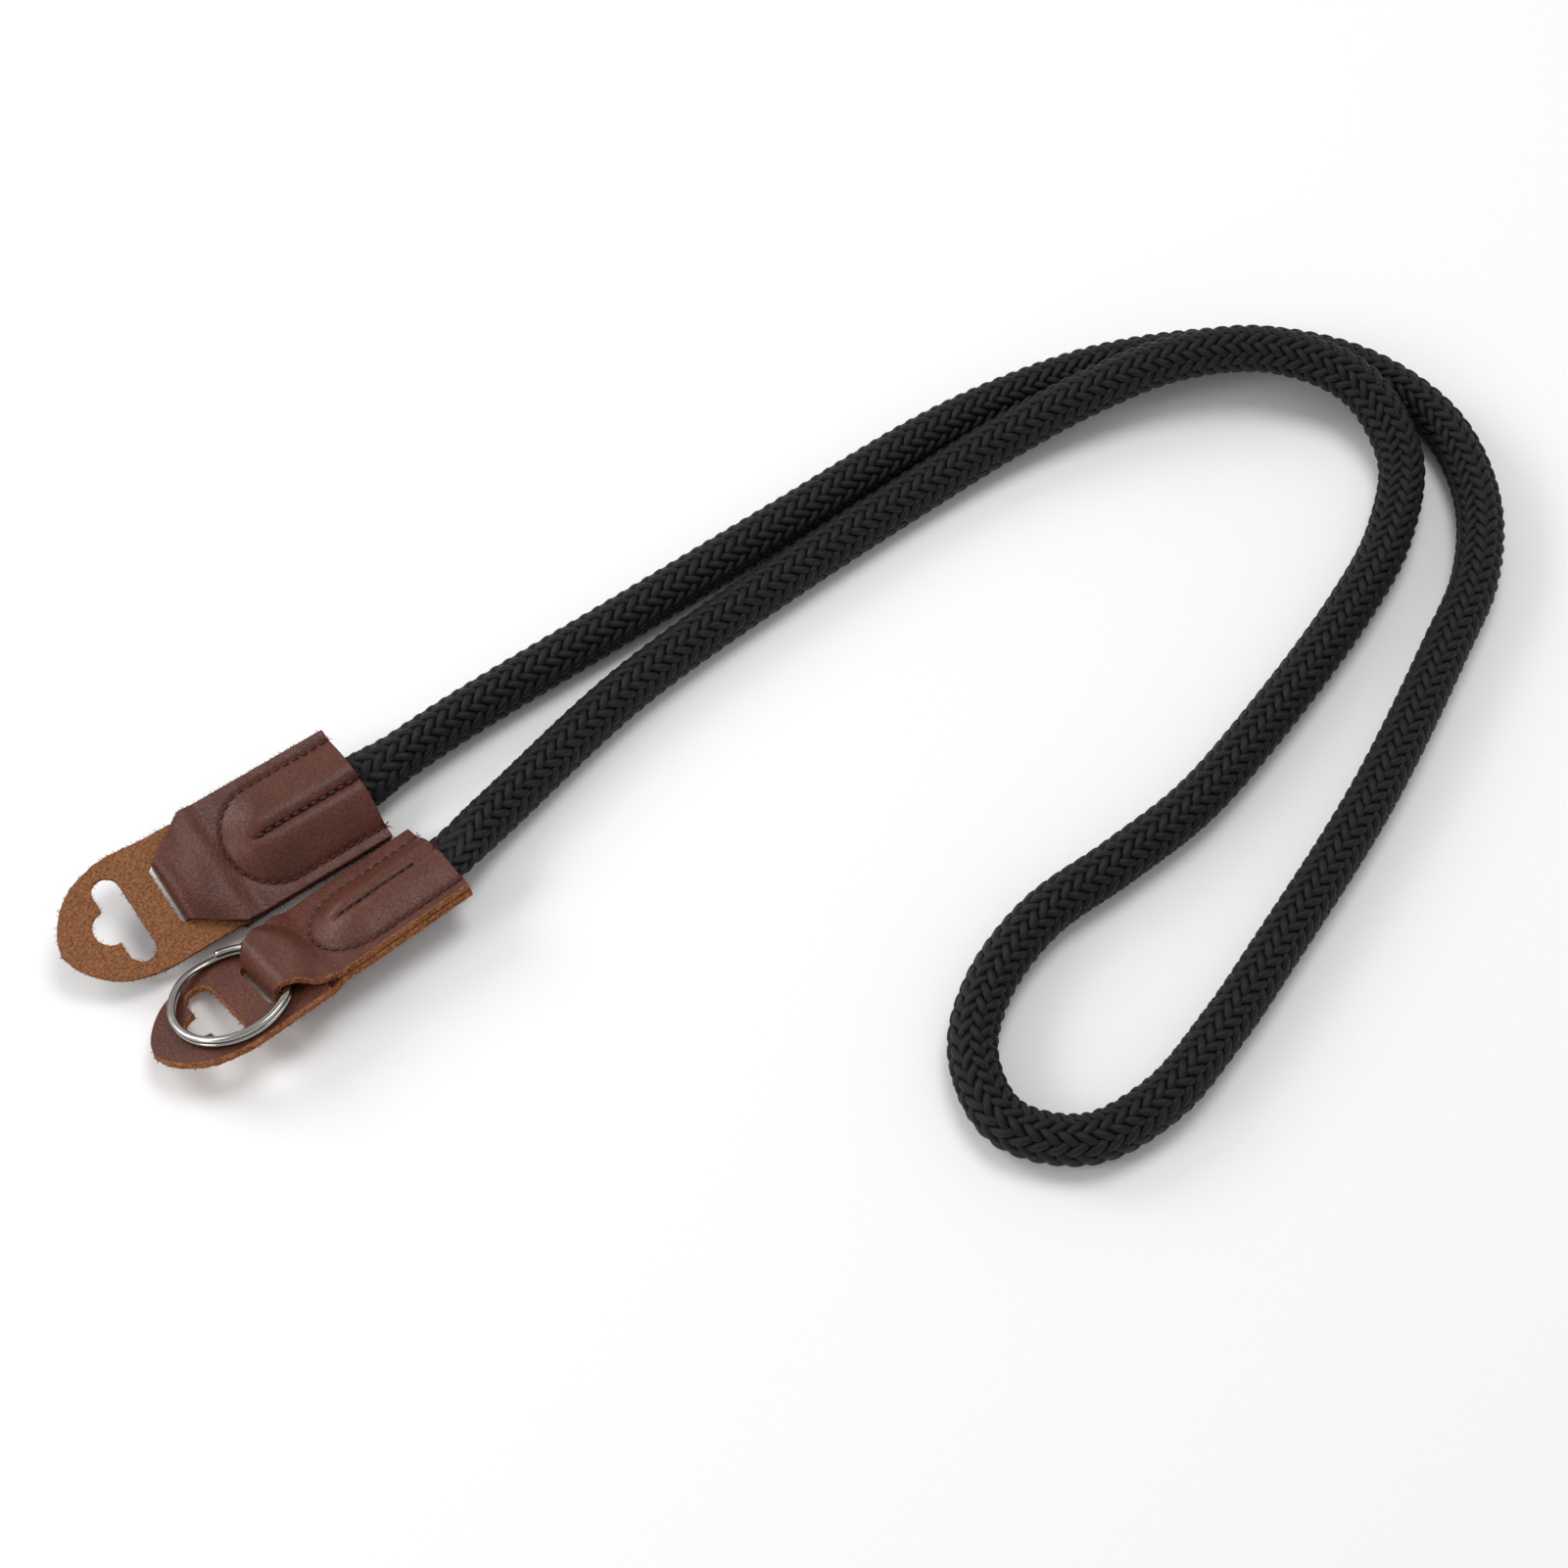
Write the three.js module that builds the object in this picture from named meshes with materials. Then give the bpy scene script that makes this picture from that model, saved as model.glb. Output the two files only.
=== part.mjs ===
// A camera neck strap: one braided rope, and on each end a folded leather tab, a leather flap and a split ring.
// Millimetres, +Z up. The strap lies on the plane z = 0. X runs along the leather ends, from their tips to the
// rope, and the origin is on that plane, under the middle of the two ends.
//
// Each end is modelled in its own frame: x runs from the fold to the rope, y across, and z = 0 is the middle of
// the flap's leather. The ring lies on the +z side. End b is placed that way up, and end a is turned over.

import * as THREE from "three";

// Leather tab: one strip, folded through the flap's slot and sewn to the rope's end
const LEATHER = 1.5;
const TAB_LENGTH = 42.6;
const FOLD_WIDTH = 12.8;
const TAPER_LENGTH = 8.8;
const TAPER_POWER = 0.9;
const CLEARANCE = 0.3;

// Sewn pocket for the rope: a U-shaped seam, a dome inside it and a groove along its middle
const SEAM_TIP = 13.2;
const SEAM_ROUND = 10;
const GROOVE_START = 19.2;
const GROOVE_SHARE = 0.2;
const GROOVE_WIDTH = 2.6;

// Fold: the strip passes through the slot and bulges on both sides of the flap
const FOLD_RUN = 3.4;
const PLAIN_BULGE = 1.2;
const PLAIN_BULGE_END = 12;
const RING_LAYER_RUN = [0.8, 5.4];
const FLAP_LAYER_RUN = 4.2;

// Flap: a pick-shaped leather tongue with a keyhole and the slot for the tab's fold
const FLAP_THICKNESS = 1.6;
const FLAP_WIDTH = 25.4;
const FLAP_TIP = 23.8;
const FLAP_REAR = 9.5;
const SLOT_FRONT = 1.1;
const TRIM_RUN = [-8, 3];
const HOLE_REAR = 7.3;
const HOLE_BAR_WIDTH = 5.6;
const HOLE_BAR_LENGTH = 18.6;
const HOLE_LOBE_RADIUS = 3.6;

// Split ring: two flat coils of wire
const RING_DIAMETER = 25;
const WIRE_WIDTH = 1.5;
const WIRE_HEIGHT = 1;
const COIL_GAP = 0.1;
const RING_CENTRE = -5.5;
const RING_JOG = THREE.MathUtils.degToRad(24);
const RING_JOG_PLACE = THREE.MathUtils.degToRad(100);
const RING_STEPS = 60;

// Rope, flattened where it is sewn into the tabs
const ROPE_DIAMETER = 10;
const ROPE_SIDES = 12;
const ROPE_STEPS = 80;
const ROPE_TIP = 18;
const ROPE_TIP_SHARE = 0.55;
const TIP_TAPER = 7;
const ROPE_REST = 5.1;
const SEWN_DENT = 0.12;
const DENT_WIDTH = 4;
const ROUNDING_OUT = 12;

// The ends are hand-made and differ. left and right are the tab's half-widths, seam and dome are the pocket's
// width and height, and sewn is the width and height of the rope in it. trim is the share of the flap's width
// that is cut away on its right towards the rear, and corner is how much of its rear corner there is cut off.
// ringAside is how far the ring lies to the left. The rest says where the end lies: the fold's middle, the yaw,
// the roll about x and how much the rope's side is lifted.
const ENDS = {
  a: {
    left: 12.8, right: 12.8, seam: 20.6, dome: 4, sewn: [12.2, 6.8],
    trim: 0.06, corner: 2.3, ringAside: -0.5,
    x: -11, y: 13.5, yaw: -0.3, roll: 197, lift: -1.8,
  },
  b: {
    left: 11.8, right: 10.8, seam: 16.8, dome: 3.2, sewn: [12.8, 5.2],
    trim: 0, corner: 0.5, ringAside: 0.4,
    x: -7.6, y: -13.5, yaw: 2, roll: -20, lift: 0.8,
  },
};

// The rope's free stretch from end a to end b, chosen by hand: x, y and the height above lying on the ground.
// On its way back the rope leans on its outgoing stretch and climbs over its shoulder.
const ROUTE = [
  [57, 14.8, 0],
  [97, 14.3, 0],
  [137, 13.9, 0],
  [177, 13.4, 0],
  [197, 10.8, 0],
  [216.5, 5.8, 0],
  [234.5, -2.6, 0],
  [251, -14.2, 0],
  [262, -30.4, 0],
  [264.8, -50, 0],
  [257.8, -68.5, 0],
  [244, -82.8, 0],
  [226.5, -92.3, 0],
  [190.5, -109.5, 0],
  [153, -123.5, 0],
  [134, -130, 0],
  [114.5, -134.6, 0],
  [98, -132.2, 0],
  [88.5, -120.5, 0],
  [92, -106.5, 0],
  [103, -97, 0],
  [121, -90.9, 0],
  [141, -90.5, 0],
  [161, -89.4, 0],
  [180.5, -85, 0],
  [218.5, -73, 0],
  [237, -64.3, 0.1],
  [251.8, -51, 0.9],
  [254.5, -33.5, 5.6],
  [244.3, -17, 8],
  [227.3, -6.5, 7.5],
  [208.2, -0.9, 4.9],
  [188.5, 2.2, 1.9],
  [168.5, 3.2, 0.3],
  [129, 2.6, 0],
  [89, -0.1, 0],
  [50, -8.3, 0.3],
];

// Materials, with the colours of the real strap
const grainLeather = new THREE.MeshStandardMaterial({ color: 0x5d3930, roughness: 0.5, metalness: 0 });
const fleshLeather = new THREE.MeshStandardMaterial({ color: 0x965f3c, roughness: 0.95, metalness: 0 });
const steel = new THREE.MeshStandardMaterial({ color: 0xb9b9b6, roughness: 0.25, metalness: 1 });
const braid = new THREE.MeshStandardMaterial({ color: 0x191919, roughness: 0.7, metalness: 0 });

const RING_HEIGHT = 2 * WIRE_HEIGHT + COIL_GAP;
const RING_UNDERSIDE = FLAP_THICKNESS / 2 + CLEARANCE;

function smooth(low, high, value) {
  return THREE.MathUtils.smoothstep(value, low, high);
}

// The strip's edge on one side of the end, from the fold to the rope's side
function tabEdge(x, side, end) {
  const share = THREE.MathUtils.clamp((x - LEATHER / 2) / TAPER_LENGTH, 0, 1) ** TAPER_POWER;
  return side * THREE.MathUtils.lerp(FOLD_WIDTH / 2, side > 0 ? end.left : end.right, share);
}

// How far the dome stands up inside the seam, with its groove
function domeHeight(x, y, end) {
  const back = Math.max(0, SEAM_TIP + SEAM_ROUND - x) / SEAM_ROUND;
  const out = Math.hypot(back, y / (end.seam / 2));
  const swell = end.dome * Math.max(0, 1 - out ** 2) ** 1.2;
  const groove = end.dome * GROOVE_SHARE * Math.exp(-((2 * y / GROOVE_WIDTH) ** 2));
  return swell - groove * smooth(GROOVE_START - 2, GROOVE_START + 3, x);
}

// Height of a layer's middle above the flap's middle. side is 1 for the ring's side and -1 for the plain one.
function layerHeight(x, y, side, end) {
  const sewn = (LEATHER + CLEARANCE) / 2;
  const overFlap = FLAP_THICKNESS / 2 + CLEARANCE + LEATHER / 2;
  const base = THREE.MathUtils.lerp(overFlap, sewn, smooth(FLAP_REAR, FLAP_REAR + FLAP_LAYER_RUN, x));
  const pastRing = Math.hypot(x - RING_CENTRE, y - end.ringAside) - RING_DIAMETER / 2;
  const overRing = (RING_HEIGHT + CLEARANCE) * (1 - smooth(...RING_LAYER_RUN, pastRing));
  const inward = 1 - (y / tabEdge(x, Math.sign(y) || 1, end)) ** 2;
  const bulge = PLAIN_BULGE * inward * (1 - smooth(FOLD_RUN, PLAIN_BULGE_END, x));
  return base + (side > 0 ? overRing : bulge) + domeHeight(x, y, end);
}

// The strip's middle surface as rows of points, from the rope's side over the fold and back
function stripRows(columns, end) {
  const stations = [1, 0.9, 0.79, 0.68, 0.58, 0.5, 0.44, 0.39, 0.34, 0.29, 0.24, 0.19, 0.13];
  const turn = [90, 115, 140, 160, 180];
  const rows = [];
  const across = (x, share) => Math.abs(share) * tabEdge(x, Math.sign(share) || 1, end);
  const layer = (x, side) => rows.push(columns.map((share) => {
    const y = across(x, share);
    return new THREE.Vector3(x, y, side * layerHeight(x, y, side, end));
  }));
  const corner = (degrees, side) => {
    const angle = THREE.MathUtils.degToRad(degrees);
    const straight = FLAP_THICKNESS / 2 + CLEARANCE / 2;
    const x = FOLD_RUN + (FOLD_RUN - LEATHER / 2) * Math.cos(angle);
    rows.push(columns.map((share) => {
      const y = across(x, share);
      const rise = (layerHeight(FOLD_RUN, y, side, end) - straight) * Math.sin(angle);
      return new THREE.Vector3(x, y, side * (straight + rise));
    }));
  };
  stations.forEach((share) => layer(share * TAB_LENGTH, 1));
  turn.forEach((degrees) => corner(degrees, 1));
  turn.reverse().forEach((degrees) => corner(degrees, -1));
  stations.reverse().forEach((share) => layer(share * TAB_LENGTH, -1));
  return rows;
}

// A closed wall of one thickness around a middle surface that is given as rows of points
function wallFromRows(rows, thickness) {
  const count = rows.length;
  const width = rows[0].length;
  const at = (i, j) => rows[THREE.MathUtils.clamp(i, 0, count - 1)][THREE.MathUtils.clamp(j, 0, width - 1)];
  const positions = [];
  for (const side of [1, -1]) {
    for (let i = 0; i < count; i += 1) {
      for (let j = 0; j < width; j += 1) {
        const along = at(i + 1, j).clone().sub(at(i - 1, j));
        const across = at(i, j + 1).clone().sub(at(i, j - 1));
        const normal = across.cross(along).normalize();
        positions.push(...at(i, j).clone().addScaledVector(normal, side * thickness / 2).toArray());
      }
    }
  }
  const sheet = count * width;
  const index = [];
  const quad = (a, b, c, d) => index.push(a, b, c, a, c, d);
  for (let i = 0; i < count - 1; i += 1) {
    for (let j = 0; j < width - 1; j += 1) {
      const a = i * width + j;
      quad(a, a + 1, a + width + 1, a + width);
      quad(sheet + a, sheet + a + width, sheet + a + width + 1, sheet + a + 1);
    }
  }
  for (let i = 0; i < count - 1; i += 1) {
    const left = i * width;
    const right = left + width - 1;
    quad(left, left + width, sheet + left + width, sheet + left);
    quad(right, sheet + right, sheet + right + width, right + width);
  }
  for (let j = 0; j < width - 1; j += 1) {
    const last = (count - 1) * width + j;
    quad(j, sheet + j, sheet + j + 1, j + 1);
    quad(last, last + 1, sheet + last + 1, sheet + last);
  }
  const geometry = new THREE.BufferGeometry();
  geometry.setAttribute("position", new THREE.Float32BufferAttribute(positions, 3));
  geometry.setIndex(index);
  geometry.computeVertexNormals();
  return geometry;
}

function tabGeometry(end) {
  const half = [0.07, 0.16, 0.28, 0.4, 0.52, 0.65, 0.8, 1];
  const columns = [...half.slice().reverse().map((share) => -share), 0, ...half];
  return wallFromRows(stripRows(columns, end), LEATHER);
}

// The keyhole: a bar with round ends across the flap, and a round lobe towards the tip
function keyhole() {
  const radius = HOLE_BAR_WIDTH / 2;
  const middle = -HOLE_REAR - radius;
  const end = HOLE_BAR_LENGTH / 2 - radius;
  const path = new THREE.Path();
  path.moveTo(-HOLE_REAR, -end);
  path.absarc(middle, end, radius, 0, Math.PI, false);
  path.absarc(middle - radius, 0, HOLE_LOBE_RADIUS, Math.PI / 2, 3 * Math.PI / 2, false);
  path.absarc(middle, -end, radius, Math.PI, 2 * Math.PI, false);
  return path;
}

// The slot that the tab's fold passes through
function foldSlot() {
  const rear = LEATHER + CLEARANCE;
  const radius = (rear + SLOT_FRONT) / 2;
  const middle = rear - radius;
  const end = FOLD_WIDTH / 2 + CLEARANCE;
  const path = new THREE.Path();
  path.moveTo(middle + radius, -end);
  path.absarc(middle, end, radius, 0, Math.PI, false);
  path.absarc(middle, -end, radius, Math.PI, 2 * Math.PI, false);
  return path;
}

// The flap's half outline, from its rear to its tip, as shares of its length past the fold and of its width
const FLAP_OUTLINE = [
  { past: 0.04, wide: 1 },
  { past: 0.34, wide: 0.99 },
  { past: 0.55, wide: 0.91 },
  { past: 0.71, wide: 0.78 },
  { past: 0.85, wide: 0.55 },
  { past: 0.95, wide: 0.28 },
];

function flapGeometry(end) {
  const side = FLAP_OUTLINE.map(({ past, wide }) => [-past * FLAP_TIP, wide * FLAP_WIDTH / 2]);
  const tip = new THREE.Vector2(-FLAP_TIP, 0);
  const left = side.map(([x, y]) => new THREE.Vector2(x, y));
  const trimmed = (x, y) => y * (1 - end.trim * smooth(...TRIM_RUN, x));
  const right = side.map(([x, y]) => new THREE.Vector2(x, -trimmed(x, y))).reverse();
  const rearWidth = trimmed(FLAP_REAR, FLAP_WIDTH / 2);
  const shape = new THREE.Shape();
  shape.moveTo(FLAP_REAR, end.corner - rearWidth);
  shape.lineTo(FLAP_REAR, FLAP_WIDTH / 2);
  shape.splineThru([...left, tip]);
  shape.splineThru([...right, new THREE.Vector2(FLAP_REAR - end.corner, -rearWidth)]);
  shape.holes.push(keyhole(), foldSlot());
  const settings = { depth: FLAP_THICKNESS, bevelEnabled: false, curveSegments: 3 };
  return new THREE.ExtrudeGeometry(shape, settings).translate(0, 0, -FLAP_THICKNESS / 2);
}

// The ring's wire: two turns, one above the other, with a jog where it climbs from the lower to the upper
class CoilPath extends THREE.Curve {
  constructor(aside) {
    super();
    this.aside = aside;
  }

  getPoint(share, target = new THREE.Vector3()) {
    const turned = THREE.MathUtils.lerp(RING_JOG, 4 * Math.PI - RING_JOG, share);
    const climbed = smooth(2 * Math.PI - RING_JOG, 2 * Math.PI + RING_JOG, turned);
    const radius = (RING_DIAMETER - WIRE_WIDTH) / 2;
    const angle = turned + RING_JOG_PLACE;
    const height = RING_UNDERSIDE + WIRE_HEIGHT / 2 + climbed * (WIRE_HEIGHT + COIL_GAP);
    const across = this.aside + radius * Math.sin(angle);
    return target.set(RING_CENTRE + radius * Math.cos(angle), across, height);
  }
}

function ringGeometry(end) {
  const [high, wide] = [WIRE_HEIGHT / 2, WIRE_WIDTH / 2];
  const section = new THREE.Shape([
    new THREE.Vector2(0, wide),
    new THREE.Vector2(-high, 0.55 * wide),
    new THREE.Vector2(-high, -0.55 * wide),
    new THREE.Vector2(0, -wide),
    new THREE.Vector2(high, -0.55 * wide),
    new THREE.Vector2(high, 0.55 * wide),
  ]);
  const settings = { steps: RING_STEPS, extrudePath: new CoilPath(end.ringAside), bevelEnabled: false };
  return new THREE.ExtrudeGeometry(section, settings);
}

function placedEnd(name) {
  const place = ENDS[name];
  const end = new THREE.Group();
  const pieces = [
    [`leather_tab_${name}`, tabGeometry(place), grainLeather],
    [`leather_flap_${name}`, flapGeometry(place), fleshLeather],
    [`split_ring_${name}`, ringGeometry(place), steel],
  ];
  for (const [label, geometry, material] of pieces) {
    const piece = new THREE.Mesh(geometry, material);
    piece.name = label;
    end.add(piece);
  }
  const turn = (degrees) => THREE.MathUtils.degToRad(degrees);
  end.rotation.set(turn(place.roll), turn(-place.lift), turn(place.yaw), "ZYX");
  end.position.set(place.x, place.y, 0);
  end.position.z = -new THREE.Box3().setFromObject(end, true).min.z;
  end.updateMatrixWorld(true);
  return end;
}

// The rope's middle line: out of end a's pocket, along the route, and into end b's pocket
function ropeLine(from, to) {
  const pocket = [ROPE_TIP, (ROPE_TIP + TAB_LENGTH) / 2, TAB_LENGTH];
  const inside = (end, x) => end.localToWorld(new THREE.Vector3(x, 0, 0));
  const free = ROUTE.map(([x, y, above]) => new THREE.Vector3(x, y, ROPE_REST + above));
  const points = [
    ...pocket.map((x) => inside(from, x)),
    ...free,
    ...pocket.slice().reverse().map((x) => inside(to, x)),
  ];
  return new THREE.CatmullRomCurve3(points, false, "centripetal");
}

// Presses the rope flat in a tab's pocket, and lets it round out again past the pocket's mouth
function pressIntoPocket(geometry, centres, end, sewn) {
  const [widen, lower] = sewn.map((size) => size / ROPE_DIAMETER);
  const [ahead, across, up] = [0, 1, 2].map((k) => new THREE.Vector3().setFromMatrixColumn(end.matrixWorld, k));
  const near = centres.filter((centre) => {
    const local = end.worldToLocal(centre.clone());
    return Math.abs(local.y) < ROPE_DIAMETER && local.x < TAB_LENGTH + 2 * ROUNDING_OUT;
  });
  const vertices = geometry.getAttribute("position");
  const vertex = new THREE.Vector3();
  for (let i = 0; i < vertices.count; i += 1) {
    vertex.fromBufferAttribute(vertices, i);
    const centre = near.reduce((best, point) => (
      point.distanceToSquared(vertex) < best.distanceToSquared(vertex) ? point : best));
    const x = end.worldToLocal(centre.clone()).x;
    const pressed = 1 - smooth(TAB_LENGTH, TAB_LENGTH + ROUNDING_OUT, x);
    if (pressed > 0 && centre.distanceTo(vertex) < ROPE_DIAMETER) {
      const tip = THREE.MathUtils.lerp(ROPE_TIP_SHARE, 1, smooth(ROPE_TIP, ROPE_TIP + TIP_TAPER, x));
      const offset = vertex.clone().sub(centre);
      const side = offset.dot(across) * tip * THREE.MathUtils.lerp(1, widen, pressed);
      const dent = 1 - pressed * SEWN_DENT * Math.exp(-((2 * side / DENT_WIDTH) ** 2));
      const height = offset.dot(up) * tip * dent * THREE.MathUtils.lerp(1, lower, pressed);
      vertex.copy(centre).addScaledVector(ahead, offset.dot(ahead));
      vertex.addScaledVector(across, side).addScaledVector(up, height);
      vertices.setXYZ(i, vertex.x, vertex.y, vertex.z);
    }
  }
}

function ropeGeometry(from, to) {
  const line = ropeLine(from, to);
  const corners = Array.from({ length: ROPE_SIDES }, (_, k) => {
    const angle = 2 * Math.PI * (k + 0.5) / ROPE_SIDES;
    return new THREE.Vector2(Math.cos(angle), Math.sin(angle)).multiplyScalar(ROPE_DIAMETER / 2);
  });
  const settings = { steps: ROPE_STEPS, extrudePath: line, bevelEnabled: false };
  const geometry = new THREE.ExtrudeGeometry(new THREE.Shape(corners), settings);
  const centres = line.getSpacedPoints(ROPE_STEPS);
  pressIntoPocket(geometry, centres, from, ENDS.a.sewn);
  pressIntoPocket(geometry, centres, to, ENDS.b.sewn);
  return geometry;
}

const endA = placedEnd("a");
const endB = placedEnd("b");
const rope = new THREE.Mesh(ropeGeometry(endA, endB), braid);
rope.name = "rope";

const strap = new THREE.Group();
strap.add(rope, endA, endB);

export default strap;
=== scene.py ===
"""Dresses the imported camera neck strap: braided rope, sewn leather ends, keyhole flaps and split rings.

Sizes are in millimetres, as in the part's own source, and become metres where a mesh is made. Each leather
end has its own frame: x runs from the fold to the rope, y across, and z = 0 is the middle of the flap.
"""

import math

import bpy
import numpy as np
from bpy.props import FloatProperty, FloatVectorProperty, PointerProperty
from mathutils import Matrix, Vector, noise
from mathutils.geometry import tessellate_polygon


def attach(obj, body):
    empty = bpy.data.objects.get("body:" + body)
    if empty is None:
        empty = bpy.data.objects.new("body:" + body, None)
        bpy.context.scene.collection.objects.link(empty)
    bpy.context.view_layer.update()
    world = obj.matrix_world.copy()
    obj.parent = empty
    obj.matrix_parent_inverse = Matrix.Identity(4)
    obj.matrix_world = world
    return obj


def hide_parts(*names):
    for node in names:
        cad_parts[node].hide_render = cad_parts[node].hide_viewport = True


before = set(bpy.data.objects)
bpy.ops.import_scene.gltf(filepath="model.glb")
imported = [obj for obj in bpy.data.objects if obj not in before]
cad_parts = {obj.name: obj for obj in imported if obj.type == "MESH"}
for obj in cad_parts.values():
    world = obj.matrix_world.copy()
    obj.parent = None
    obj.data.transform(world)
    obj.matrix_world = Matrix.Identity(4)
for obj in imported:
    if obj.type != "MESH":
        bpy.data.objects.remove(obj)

bl_info = {
    "name": "Camera neck strap",
    "version": (1, 0, 0),
    "blender": (4, 5, 0),
    "location": "3D View > Sidebar > Strap",
    "description": "Braided rope, leather ends, split rings and the stage of a camera neck strap",
    "category": "Object",
}

METRES = 0.001
BODY = "root"

# Leather
LEATHER = 1.5
TAB_LENGTH = 42.6
FOLD_WIDTH = 12.8
TAPER_LENGTH = 8.8
TAPER_POWER = 0.9
CLEARANCE = 0.3
SEAM_TIP = 13.2
SEAM_ROUND = 10
GROOVE_START = 19.2
GROOVE_SHARE = 0.2
GROOVE_WIDTH = 2.6
FOLD_RUN = 3.4
PLAIN_BULGE = 1.2
PLAIN_BULGE_END = 12
RING_LAYER_RUN = (0.8, 5.4)
FLAP_LAYER_RUN = 4.2
TAB_COLUMNS = 91
TAB_STATIONS = 150
FOLD_STEPS = 14

# Stitches: how far the seams stay off the mouth, and the thread's pull on the leather at and between holes
SEAM_OFF_MOUTH = 0.4
SEAM_POINTS = 60
HOLE_DEPTH = 0.3
HOLE_REACH = 0.42
SEAM_DEPTH = 0.2
SEAM_REACH = 0.8
U_SEAM_SUNK = 0.26
GROOVE_SEAM_SUNK = 0.12
STITCH_BOW = 0.42
STITCH_SUNK = 0.22
STITCH_SIDES = 6
STITCH_JOINTS = 7
CREASE_WIDTH = 0.34

# A cut edge's rings of points, from the grain side down: height as a share of the thickness, how far out the
# ring lies and how ragged it is
TAB_EDGE = ((0.42, 0.07, 0.02), (0.2, 0.1, 0.1), (-0.1, 0.08, 0.16), (-0.38, 0.05, 0.2))

# Flap. The spacing is that of the points along its outlines.
FLAP_THICKNESS = 1.6
FLAP_WIDTH = 25.4
FLAP_TIP = 23.8
FLAP_REAR = 9.5
SLOT_FRONT = 1.1
TRIM_RUN = (-8, 3)
HOLE_REAR = 7.3
HOLE_BAR_WIDTH = 5.6
HOLE_BAR_LENGTH = 18.6
HOLE_LOBE_RADIUS = 3.6
OUTLINE_SPACING = 0.35
KEYHOLE_SPACING = 0.3
FLAP_EDGE = ((0.5, -0.16, 0), (0.425, -0.03, 0.02), (0.15, 0, 0.1), (-0.15, 0, 0.16), (-0.5, -0.04, 0.2))

# The flap's half outline, from its rear to its tip, as shares of its length past the fold and of its width
FLAP_OUTLINE = [
    {"past": 0.04, "wide": 1},
    {"past": 0.34, "wide": 0.99},
    {"past": 0.55, "wide": 0.91},
    {"past": 0.71, "wide": 0.78},
    {"past": 0.85, "wide": 0.55},
    {"past": 0.95, "wide": 0.28},
]

# Loose fibres on the cut edges and frayed thread at the mouths: share of places that have one, sizes, seeds
FIBRE_SHARE = 0.6
FIBRE_LENGTH = 1.1
FIBRE_WIDTH = 0.16
THREADS_FRAYED = 6
FRAY_LENGTH = 2.6
FRAY_WIDTH = 0.26
HAIR_ROOT = 0.1
HAIR_SPREAD = 0.55
HAIR_BEND = 0.8
SEEDS = {"tab_fibres": 11, "thread_ends": 51, "flap_fibres": 91}

# Fibrous materials. fibres is the noise's scale, detail and roughness, and fade is where it goes from the
# first of the colour's two tones to the second. blots is the scale of broad blots, blot_fade says from where
# to where and how far they fade in towards blot_tone, and blot_relief is their share in the relief. relief is
# the bump's strength and depth.
FIBROUS = {
    "flesh": {
        "fibres": (2000, 3, 0.75), "fade": (0.38, 0.62), "tones": (0.5, 1.45), "blots": 320,
        "blot_fade": (0.35, 0.75, 0, 0.4), "blot_tone": 0.9, "blot_relief": 0.6,
        "relief": (0.9, 0.4), "rough": 0.95, "gloss": 0.1,
    },
    "edge": {
        "fibres": (1500, 4, 0.75), "fade": (0.4, 0.6), "tones": (0.5, 1.4), "blots": 450,
        "blot_fade": (0.5, 0.75, 0, 0.5), "blot_tone": 0.5, "blot_relief": 0,
        "relief": (0.9, 0.4), "rough": 0.92, "gloss": 0.1,
    },
    "thread": {
        "fibres": (3200, 2, 0.5), "fade": (0.35, 0.65), "tones": (0.7, 1.3),
        "relief": (0.5, 0.1), "rough": 0.7, "gloss": 0.5,
    },
    # The core's tones are darker copies of the rope's colour: painted shade in the gaps between the strands
    "core": {
        "fibres": (900, 2, 0.5), "fade": (0, 1), "tones": (0.2, 0.6),
        "relief": (0.4, 0.1), "rough": 0.9, "gloss": 0.1,
    },
}

# Split ring
RING_DIAMETER = 25
WIRE_WIDTH = 1.5
WIRE_HEIGHT = 1
COIL_GAP = 0.1
RING_STEPS = 260
WIRE_SIDES = 14
WIRE_SQUARENESS = 0.8
RING_CENTRE = -5.5
RING_JOG = math.radians(24)
RING_JOG_PLACE = math.radians(100)
RING_UNDERSIDE = FLAP_THICKNESS / 2 + CLEARANCE
RING_HEIGHT = 2 * WIRE_HEIGHT + COIL_GAP

# Rope
STRANDS_EACH_WAY = 12
STEPS_EACH_TURN = 60
STRAND_LIFT = 0.4
STRAND_COLUMNS = (-1, -0.85, -0.45, 0, 0.45, 0.85, 1)
STRAND_SQUEEZE = (0.9, 1.06)
STRAND_EDGE_DROP = 1.3
STRAND_UV_SHIFT = 7.3
LAYER_UV_SHIFT = 31.7
FLOAT_FLATNESS = 1.3
STRANDS_HIDDEN = 7
CORE_STEP = 2
CORE_SIDES = 16
ROPE_DIAMETER = 10
ROPE_TIP = 18
ROPE_TIP_SHARE = 0.55
TIP_TAPER = 7
ROPE_REST = 5.1
SEWN_DENT = 0.12
DENT_WIDTH = 4
ROUNDING_OUT = 12

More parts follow.
